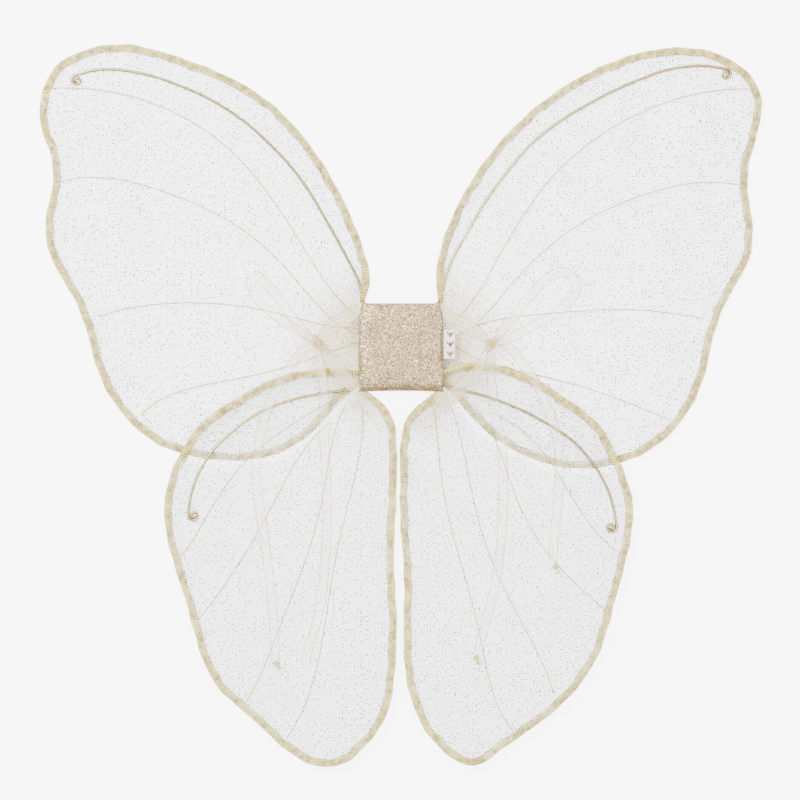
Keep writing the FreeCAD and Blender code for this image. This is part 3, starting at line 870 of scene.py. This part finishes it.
# Painted shade: where the surface faces sideways, the wire is painted dark brown and made non-metallic, for
# the dark flanks of a round wire.
turned = add(tree, "ShaderNodeSeparateXYZ", {"Vector": where.outputs["Normal"]})
upright = add(tree, "ShaderNodeMath", {0: turned.outputs["Z"]}, operation="ABSOLUTE")
unshaded_top = add(tree, "ShaderNodeMapRange", {"Value": upright.outputs[0], "From Min": 0.84, "From Max": 0.97})
wire_tint_with_painted_shade = add(tree, "ShaderNodeMix", {"Factor": unshaded_top.outputs["Result"], "A": colour("#2A1D08"),
                                       "B": tint.outputs["Color"]}, data_type="RGBA")
shine = add(tree, "ShaderNodeMapRange", {"Value": mottle.outputs["Fac"], "To Min": 0.22, "To Max": 0.38})
skin = add(tree, "ShaderNodeBsdfPrincipled", {"Base Color": wire_tint_with_painted_shade.outputs["Result"],
                                              "Metallic": unshaded_top.outputs["Result"],
                                              "Specular IOR Level": 0.15,
                                              "Roughness": shine.outputs["Result"]})
add(tree, "ShaderNodeOutputMaterial", {"Surface": skin.outputs["BSDF"]})

def repaint(node, material):
    """Give a node of the frame a finished material in place of its plain one."""
    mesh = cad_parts[node].data
    mesh.materials.clear()
    mesh.materials.append(material)


for node in [f"{wing}_wire" for wing in WING_NAMES] + ["upper_wire_core", "lower_wire_core"]:
    repaint(node, gold_wire)

# %% [markdown]
# ## Glitter patch
#
# The patch is a pad wrapped in glitter cloth: a woven base with thousands of cut film flakes glued
# on.  The pad is one closed surface.  Its front is a pillow, x and y run nearly straight to the
# edges, and both top corners are pinched where the cloth is folded round the upper wires.  The
# flakes are real hexagons, each a little tilted, because only separate facets flash like glitter.

# %% Glitter materials
def glitter_base(name, low, high):
    """Glitter cloth under the loose flakes: small cells of brown, rose and cream."""
    material, tree = new_material(name)
    where = add(tree, "ShaderNodeTexCoord")
    cells = add(tree, "ShaderNodeTexVoronoi", {"Vector": where.outputs["Object"], "Scale": 1 / (0.8 * MM)})
    pick = add(tree, "ShaderNodeSeparateColor", {"Color": cells.outputs["Color"]})
    tint = add(tree, "ShaderNodeValToRGB", {"Fac": pick.outputs["Red"]})
    ramp_stops(tint, (0.0, low), (0.7, high), (1.0, "#D8BC98"))
    bump = add(tree, "ShaderNodeBump", {"Height": pick.outputs["Green"], "Strength": 0.6,
                                        "Distance": 0.3 * MM})
    skin = add(tree, "ShaderNodeBsdfPrincipled", {"Base Color": tint.outputs["Color"], "Metallic": 0.35,
                                                  "Roughness": 0.45, "Normal": bump.outputs["Normal"]})
    add(tree, "ShaderNodeOutputMaterial", {"Surface": skin.outputs["BSDF"]})
    return material


pad_cloth = glitter_base("rose gold glitter cloth", "#5C4730", "#967B56")
fold_cloth = glitter_base("folded edge of glitter cloth", "#6A482C", "#A27C50")

flake_film, tree = new_material("rose gold glitter film")
glint = add(tree, "ShaderNodeAttribute", attribute_name="glint")
tint = add(tree, "ShaderNodeValToRGB", {"Fac": glint.outputs["Fac"]})
ramp_stops(tint, (0.0, "#5A452E"), (0.25, "#9C8156"), (0.5, "#CFAC7C"), (0.75, "#F0DAB0"), (1.0, "#FFF6DC"))
skin = add(tree, "ShaderNodeBsdfPrincipled", {"Base Color": tint.outputs["Color"], "Metallic": 0.55,
                                              "Roughness": 0.28})
add(tree, "ShaderNodeOutputMaterial", {"Surface": skin.outputs["BSDF"]})

# %% The pad
pad_low, pad_high = (np.array(corner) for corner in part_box("patch_front"))
PAD_HALF = (pad_high[:2] - pad_low[:2]) / 2
PAD_TOP = pad_high[2]
PAD_SEAM = pad_low[2]
FOLD_WIDTH = 4.2 * MM          # rolled strip along the lower edge

def pinched(flat):
    """The top corners drawn in and up into small peaks, the top edge a little hollow."""
    x, y = flat[..., 0], flat[..., 1]
    moved = flat.copy()
    for side in (-1, 1):
        near = np.exp(-((x - side * PAD_HALF[0]) / (3.4 * MM)) ** 2 - ((y - PAD_HALF[1]) / (7 * MM)) ** 2)
        moved[..., 0] -= side * 2.6 * MM * near
        moved[..., 1] += 2.4 * MM * near
    low_bow = 0.7 * MM * (1 - (x / PAD_HALF[0]) ** 2) * np.clip(-y / PAD_HALF[1], 0, 1) ** 4
    moved[..., 1] += low_bow
    return moved


def pad_front(u, v):
    """Front of the pad at u, v from -1 to 1: height is the product of two flat-topped arches, with
    a groove above the rolled strip and soft dents."""
    flat = np.stack([u * PAD_HALF[0], v * PAD_HALF[1]], axis=-1)
    arch = (np.clip(1 - np.abs(u) ** 7, 0, 1) * np.clip(1 - np.abs(v) ** 7, 0, 1)) ** 0.42
    crown = 1 - 0.13 * (u ** 2 + v ** 2) / 2
    groove = 0.7 * MM * np.exp(-(((flat[..., 1] + PAD_HALF[1] - FOLD_WIDTH) / (0.7 * MM)) ** 2)) * arch
    x, y = flat[..., 0] / MM, flat[..., 1] / MM
    dents = 0.22 * np.sin(x / 6.3 + 0.6) * np.sin(y / 7.9 + 1.0) + 0.12 * np.sin(x / 3.1 - y / 4.7)
    height = PAD_SEAM + (PAD_TOP - PAD_SEAM) * arch * crown + dents * MM * arch - groove
    return np.concatenate([pinched(flat), height[..., None]], axis=-1)


def pad_back(u, v):
    """Back of the pad: nearly flat, rounded up to the same seam."""
    flat = np.stack([u * PAD_HALF[0], v * PAD_HALF[1]], axis=-1)
    arch = (np.clip(1 - np.abs(u) ** 14, 0, 1) * np.clip(1 - np.abs(v) ** 14, 0, 1)) ** 0.5
    return np.concatenate([pinched(flat), (PAD_SEAM * (1 - arch))[..., None]], axis=-1)


PAD_GRID = 72
spread = np.sin(np.linspace(-np.pi / 2, np.pi / 2, PAD_GRID))
u, v = np.meshgrid(spread, spread, indexing="ij")
front, back = pad_front(u, v), pad_back(u, v)
points = np.concatenate([front.reshape(-1, 3), back.reshape(-1, 3)])
faces = np.concatenate([grid_faces(PAD_GRID, PAD_GRID),
                        grid_faces(PAD_GRID, PAD_GRID, start=PAD_GRID ** 2)[:, ::-1]])
pad = make_piece("glitter_patch", points, faces, [pad_cloth, fold_cloth])
middle = points[faces].mean(axis=1)
rolled = (middle[:, 1] < -PAD_HALF[1] + FOLD_WIDTH) | (np.abs(middle[:, 0]) > PAD_HALF[0] - 0.7 * MM)
rolled |= middle[:, 1] > PAD_HALF[1] - 1.1 * MM
pad.data.polygons.foreach_set("material_index", rolled.astype(int))

welded = bmesh.new()
welded.from_mesh(pad.data)
bmesh.ops.remove_doubles(welded, verts=welded.verts, dist=0.01 * MM)
welded.to_mesh(pad.data)
welded.free()
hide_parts("patch_front", "patch_back", "patch_padding")
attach(pad, "centre")
print(f"pad {2000 * PAD_HALF[0]:.0f} x {2000 * PAD_HALF[1]:.0f} x {PAD_TOP * 1000:.0f} mm")

# %% Glitter flakes
FLAKE_PITCH = 0.68 * MM
FLAKE_R = 0.39 * MM
FLAKE_TILT = 0.30

draws = np.random.default_rng(7)
counts = (2 * PAD_HALF / FLAKE_PITCH).astype(int)
cell_u, cell_v = np.meshgrid(np.arange(counts[0]), np.arange(counts[1]), indexing="ij")
jitter = draws.uniform(-0.45, 0.45, (2, *cell_u.shape))
flake_u = ((cell_u + 0.5 + jitter[0]) / counts[0] * 2 - 1).ravel() * 0.985
flake_v = ((cell_v + 0.5 + jitter[1]) / counts[1] * 2 - 1).ravel() * 0.985
tiny = 1e-3
spot = pad_front(flake_u, flake_v)
slope_u = unit(pad_front(flake_u + tiny, flake_v) - spot)
slope_v = unit(pad_front(flake_u, flake_v + tiny) - spot)
facing = unit(np.cross(slope_u, slope_v) + draws.normal(0, FLAKE_TILT / 2, spot.shape))
first = unit(np.cross(facing, unit(draws.normal(0, 1, spot.shape))))
second = np.cross(facing, first)
turn = np.arange(6) * np.pi / 3
size = FLAKE_R * draws.uniform(0.75, 1.1, len(spot))[:, None, None]
corners = (spot + facing * 0.12 * MM)[:, None] + size * (first[:, None] * np.cos(turn)[None, :, None]
                                                         + second[:, None] * np.sin(turn)[None, :, None])
flakes = make_piece("glitter_flakes", corners.reshape(-1, 3),
                    np.arange(len(spot) * 6).reshape(-1, 6), [flake_film], smooth=False)
glint_of = draws.beta(1.6, 1.5, len(spot))
# Painted shade: flakes low on the pad's sloping sides and on the rolled strip are painted darker, for the
# shade on the pad's edges.
painted_shade_flakes = (spot[:, 1] < -PAD_HALF[1] + FOLD_WIDTH) | (spot[:, 2] < PAD_TOP - 3.4 * MM)
glint_of = np.where(painted_shade_flakes, glint_of * 0.35, glint_of)
layer = flakes.data.attributes.new("glint", "FLOAT", "POINT")
layer.data.foreach_set("value", np.repeat(glint_of, 6))
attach(flakes, "centre")
print(len(spot), "flakes")

# %% [markdown]
# ## Label and its stitches
#
# A folded strip of satin is caught in the patch's right seam.  Satin floats its warp over many
# weft yarns, so it shines along one direction.  The woven mark is a plain row of leaf sprigs.

# %% Label
SATIN_FLOAT = 0.888 * MM       # drawn coarser than the real yarn, so that it shows

satin, tree = new_material("woven satin label")
where = add(tree, "ShaderNodeTexCoord")
floats = add(tree, "ShaderNodeTexWave", {"Vector": where.outputs["Object"], "Scale": wave_scale(SATIN_FLOAT),
                                         "Distortion": 0.8}, bands_direction="Y")
bump = add(tree, "ShaderNodeBump", {"Height": floats.outputs["Fac"], "Strength": 0.2, "Distance": 0.1 * MM})
skin = add(tree, "ShaderNodeBsdfPrincipled", {"Base Color": colour("#FFEFE9"), "Roughness": 0.36,
                                              "Sheen Weight": 0.4, "Normal": bump.outputs["Normal"]})
add(tree, "ShaderNodeOutputMaterial", {"Surface": skin.outputs["BSDF"]})
mark_thread = thread_material("olive gold embroidery thread", "#4E420C", "#7E6C22", 0.45)

low, high = (np.array(corner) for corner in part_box("label"))
LEAF = 0.28 * MM
bend = np.linspace(-np.pi / 2, np.pi / 2, 9)
fold_r = (high[2] - low[2]) / 2 - LEAF / 2
mid_z = (low[2] + high[2]) / 2
run = np.linspace(0, 1, 8)[:-1]
reach_x = high[0] - low[0] - fold_r - LEAF / 2
profile = np.concatenate([np.stack([low[0] + run * reach_x, np.full(7, mid_z - fold_r)], axis=1),
                          np.stack([low[0] + reach_x + fold_r * np.cos(bend),
                                    mid_z + fold_r * np.sin(bend)], axis=1),
                          np.stack([low[0] + run[::-1] * reach_x, np.full(7, mid_z + fold_r)], axis=1)])
length = np.linspace(low[1] + 0.1 * MM, high[1] - 0.1 * MM, 28)
profile[:, 0] = np.where(profile[:, 0] < low[0] + 0.1 * MM, PAD_HALF[0] + 0.3 * MM, profile[:, 0])
x = np.repeat(profile[:, :1], len(length), axis=1)
z = np.repeat(profile[:, 1:], len(length), axis=1)
y = np.repeat(length[None], len(profile), axis=0)
curl_up = 0.5 * MM * ((x - low[0]) / (high[0] - low[0])) ** 2 * (0.5 + 0.5 * np.sin(y / (5 * MM)))
label = make_piece("satin_label", np.stack([x, y, z + curl_up], axis=-1).reshape(-1, 3),
                   grid_faces(len(profile), len(length))[:, ::-1], [satin])
solid = label.modifiers.new("cloth thickness", "SOLIDIFY")
solid.thickness = 0.18 * MM
solid.offset = 0.0
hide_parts("label")
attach(label, "label")

SPRIGS = 3
parts = []
centre_x = (low[0] + high[0]) / 2
for sprig in range(SPRIGS):
    centre_y = low[1] + (high[1] - low[1]) * (sprig + 0.5) / SPRIGS
    for way in (-1, 0, 1):
        s = np.linspace(0, 1, 8)
        leaf_y = centre_y + (-2.0 + 3.6 * s * (1 if way == 0 else 0.75) + (0 if way == 0 else 1.1)) * MM
        leaf_x = centre_x + way * 2.0 * MM * np.sin(s * np.pi / 2)
        top = high[2] - LEAF / 2 + 0.24 * MM + 0.5 * MM * ((leaf_x - low[0]) / (high[0] - low[0])) ** 2 * (
            0.5 + 0.5 * np.sin(leaf_y / (5 * MM)))
        parts.append(tube(np.stack([leaf_x, leaf_y, top], axis=1), 0.48 * MM, sides=6))
points, faces = joined(parts)
sprigs = make_piece("label_sprigs", points, faces, [mark_thread])
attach(sprigs, "label")

# %% Topstitching
parts = []
stitch_low, stitch_high = (np.array(corner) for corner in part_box("label_stitches"))
SEAM_STITCHES = 9
PAST_LABEL = 1.5 * MM          # the seam runs on a little past both ends of the label
seam_start = stitch_low[1] - PAST_LABEL
seam_length = stitch_high[1] - stitch_low[1] + 2 * PAST_LABEL
for stitch in range(SEAM_STITCHES):
    s = np.linspace(0, 1, 9)
    run_y = seam_start + seam_length * (stitch + s * 0.86) / SEAM_STITCHES
    run_x = np.full(9, PAD_HALF[0] - 1.7 * MM) + 0.5 * MM * np.sin(stitch * 2.1) * (s - 0.5)
    height = pad_front(run_x / PAD_HALF[0], run_y / PAD_HALF[1])[:, 2]
    parts.append(tube(np.stack([run_x, run_y, height + 0.35 * MM * np.sin(np.pi * s) + 0.05 * MM], axis=1),
                      0.3 * MM, sides=6))
points, faces = joined(parts)
topstitch = make_piece("label_topstitching", points, faces, [mark_thread])
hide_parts("label_stitches")
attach(topstitch, "centre")

# %% [markdown]
# ## Knots
#
# Both ribbons of a side pass through one soft knot, and three tails end in a small overhand knot
# with a frayed tip.  A knot is a closed lump whose surface is pleated along the cloth's way
# through it, with one band of ribbon wrapped over the top.

# %% Knots
knot_cloth, tree = new_material("tied sheer ribbon")
where = add(tree, "ShaderNodeTexCoord")
cloud = add(tree, "ShaderNodeTexNoise", {"Vector": where.outputs["Object"], "Scale": 700.0, "Detail": 4.0})
tint = add(tree, "ShaderNodeValToRGB", {"Fac": cloud.outputs["Fac"]})
ramp_stops(tint, (0.35, "#C2A662"), (0.6, "#F2E6B8"))
bump = add(tree, "ShaderNodeBump", {"Height": cloud.outputs["Fac"], "Strength": 0.5, "Distance": 0.3 * MM})
skin = add(tree, "ShaderNodeBsdfPrincipled", {"Base Color": tint.outputs["Color"], "Roughness": 0.5,
                                              "Sheen Weight": 0.3, "Alpha": 0.5,
                                              "Normal": bump.outputs["Normal"]})
add(tree, "ShaderNodeOutputMaterial", {"Surface": skin.outputs["BSDF"]})

def knot_surface(centre, half, way, pleats, seed):
    """A pleated ellipsoid: angle p runs round its long axis, q from end to end.  The radius has
    pleats that follow q, and a waist where the wrapping band pulls it in."""
    draws = np.random.default_rng(seed)
    p = np.linspace(0, 2 * np.pi, 48, endpoint=False)[:, None]
    q = np.linspace(0.04, np.pi - 0.04, 30)[None, :]
    pleat = 1 + 0.12 * np.sin(pleats * p + 1.5 * np.cos(q)) + 0.12 * np.sin(2 * p + draws.uniform(0, 6) + q)
    waist = 1 - 0.16 * np.exp(-((q - np.pi / 2) / 0.35) ** 2)
    radius = np.sin(q) ** 0.8 * pleat * waist
    length_way = np.array([np.cos(way), np.sin(way)])
    cross_way = np.array([-length_way[1], length_way[0]])
    out = half[0] * radius * np.cos(p)
    run = half[1] * np.cos(q) + 0 * p
    flat = np.array(centre[:2]) + run[..., None] * length_way + out[..., None] * cross_way
    height = centre[2] + half[2] * radius * np.sin(p)
    points = np.concatenate([flat, height[..., None]], axis=-1)
    rows, columns = points.shape[:2]
    faces = grid_faces(rows, columns, close_rows=True).tolist()
    faces += [[r * columns for r in range(rows)], [r * columns + columns - 1 for r in reversed(range(rows))]]
    return points.reshape(-1, 3), faces


def wrap_band(centre, half, way, width):
    """The band over a knot: a closed loop round the long axis, a little wider at its edges."""
    p = np.linspace(0, 2 * np.pi, 48, endpoint=False)[:, None]
    t = np.linspace(-1, 1, 9)[None, :]
    length_way = np.array([np.cos(way), np.sin(way)])
    cross_way = np.array([-length_way[1], length_way[0]])
    swell = 1.0 + 0.06 * t ** 2 + 0.03 * np.sin(5 * p + t)
    out = half[0] * swell * np.cos(p)
    run = width / 2 * t + 0.5 * MM * np.sin(p)
    flat = np.array(centre[:2]) + run[..., None] * length_way + out[..., None] * cross_way
    height = centre[2] + half[2] * swell * np.sin(p)
    points = np.concatenate([flat, height[..., None]], axis=-1)
    return points.reshape(-1, 3), grid_faces(*points.shape[:2], close_rows=True).tolist()


def knot_piece(name, centre, half, way, bands, band_width, seed, extra=()):
    """A knot: a pleated lump, bands of ribbon wrapped over it, and a gold thread on each band's
    two edges."""
    cloth_parts = [knot_surface(centre, half, way, 7, seed)]
    threads = list(extra)
    for turn in bands:
        points, faces = wrap_band(centre, half * (1.04 + 0.05 * len(cloth_parts)), way + turn, band_width)
        cloth_parts.append((points, faces))
        rings = points.reshape(48, 9, 3)
        for edge in (0, 8):
            threads.append(tube(np.concatenate([rings[:, edge], rings[:1, edge]]), 0.2 * MM,
                                (np.cos(way + turn), np.sin(way + turn), 0.01), sides=5))
    points, faces = joined(cloth_parts + threads)
    piece = make_piece(name, points, faces, [knot_cloth, edge_thread])
    index = np.ones(len(faces), dtype=int)
    index[:sum(len(those) for _, those in cloth_parts)] = 0
    piece.data.polygons.foreach_set("material_index", index)
    return piece


knots = {}
KNOT_WAYS = {"left": 2.2, "right": 0.9}
for seed, (side, way) in enumerate(KNOT_WAYS.items()):
    low, high = (np.array(corner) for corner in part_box(f"{side}_knot"))
    centre, half = (low + high) / 2, (high - low) / 2
    half = np.array([half[0] * 0.66, half[1] * 1.25, half[2] * 0.66])
    knots[side] = knot_piece(f"{side}_bow_knot", centre, half, way, (0.35, -0.7), 3.0 * MM, seed)
    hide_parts(f"{side}_knot")
    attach(knots[side], f"{side}_lower_wing")

# %% Tail knots with frayed tips
def frayed(centre, way, seed):
    """Short loose yarns that fan out past a tail's end."""
    draws = np.random.default_rng(seed)
    parts = []
    for yarn in range(9):
        s = np.linspace(0, 1, 7)
        heading = way + draws.uniform(-0.7, 0.7)
        bend = draws.uniform(-1.2, 1.2) * s ** 2
        reach = draws.uniform(2.2, 4.2) * MM * s
        x = centre[0] + reach * np.cos(heading + bend)
        y = centre[1] + reach * np.sin(heading + bend)
        z = centre[2] + draws.uniform(-0.6, 0.6) * MM * s
        parts.append(tube(np.stack([x, y, z], axis=1), 0.12 * MM, sides=4))
    return parts


tail_knots = {}
for seed, name in enumerate(("left_upper", "right_upper", "right_lower")):
    low, high = (np.array(corner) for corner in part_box(f"{name}_tail_knot"))
    centre, half = (low + high) / 2, (high - low) / 2
    way = -1.2 if name != "left_upper" else -1.0
    tip = centre + np.array([np.cos(way), np.sin(way), 0]) * half[1] * 0.6
    tail_knots[name] = knot_piece(f"{name}_tail_end", centre, half * 0.74, way, (0.1,), 1.8 * MM, seed + 20,
                                  frayed(tip, way, seed + 40))
    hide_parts(f"{name}_tail_knot")
    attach(tail_knots[name], f"{name.split('_')[0]}_lower_wing")

for name, (piece, line) in ties.items():
    side = name.split("_")[0]
    sign = -1 if side == "left" else 1
    design = TIES[name]
    on_it = [knots[side]] if name.endswith("upper") else []
    if name in tail_knots:
        on_it.append(tail_knots[name])
    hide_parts(f"{name}_ribbon")
    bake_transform(piece)

# %% [markdown]
# ## Floor and light
#
# The wings lie on a plain white table.  Broad, even light comes from all round, and one large
# soft box from the upper left gives the cloth and wire their gloss without hard shadows.

# %% Floor and light
FLOOR_HALF = 12.0
FLOOR_GLOW = 5.3               # burns the table out to clean white for the eye alone

floor_white, tree = new_material("matt white table")
eye = add(tree, "ShaderNodeLightPath")
glow = add(tree, "ShaderNodeMath", {0: eye.outputs["Is Camera Ray"], 1: FLOOR_GLOW}, operation="MULTIPLY")
skin = add(tree, "ShaderNodeBsdfPrincipled", {"Base Color": (0.9, 0.9, 0.9, 1), "Roughness": 0.9,
                                              "Emission Color": (1, 1, 1, 1),
                                              "Emission Strength": glow.outputs[0]})
add(tree, "ShaderNodeOutputMaterial", {"Surface": skin.outputs["BSDF"]})
floor_corners = np.array([[-1, -1, 0], [1, -1, 0], [1, 1, 0], [-1, 1, 0]]) * FLOOR_HALF
floor_corners[:, 2] = -0.3 * MM
make_piece("floor", floor_corners, [[0, 1, 2, 3]], [floor_white])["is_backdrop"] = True

world = bpy.data.worlds.new("studio")
bpy.context.scene.world = world
world.use_nodes = True
world.node_tree.nodes.clear()
sky = add(world.node_tree, "ShaderNodeBackground", {"Color": (1, 1, 1, 1), "Strength": 1.9})
add(world.node_tree, "ShaderNodeOutputWorld", {"Surface": sky.outputs["Background"]})

def soft_box(name, place, size, watts):
    """A square lamp that faces the patch."""
    lamp = bpy.data.lights.new(name, "AREA")
    lamp.size = size
    lamp.energy = watts
    holder = bpy.data.objects.new(name, lamp)
    holder.location = place
    holder.rotation_euler = (-Vector(place)).to_track_quat("-Z", "Y").to_euler()
    bpy.context.scene.collection.objects.link(holder)


soft_box("key", (-1.0, 0.9, 1.5), 1.0, 72)
soft_box("fill", (1.3, -0.5, 1.4), 1.4, 25)

size = {"cad": [list(map(float, corner)) for corner in cad_box],
        "visual": [list(map(float, corner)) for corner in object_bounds()]}
print({key: [[round(v * 1000, 1) for v in corner] for corner in box] for key, box in size.items()})
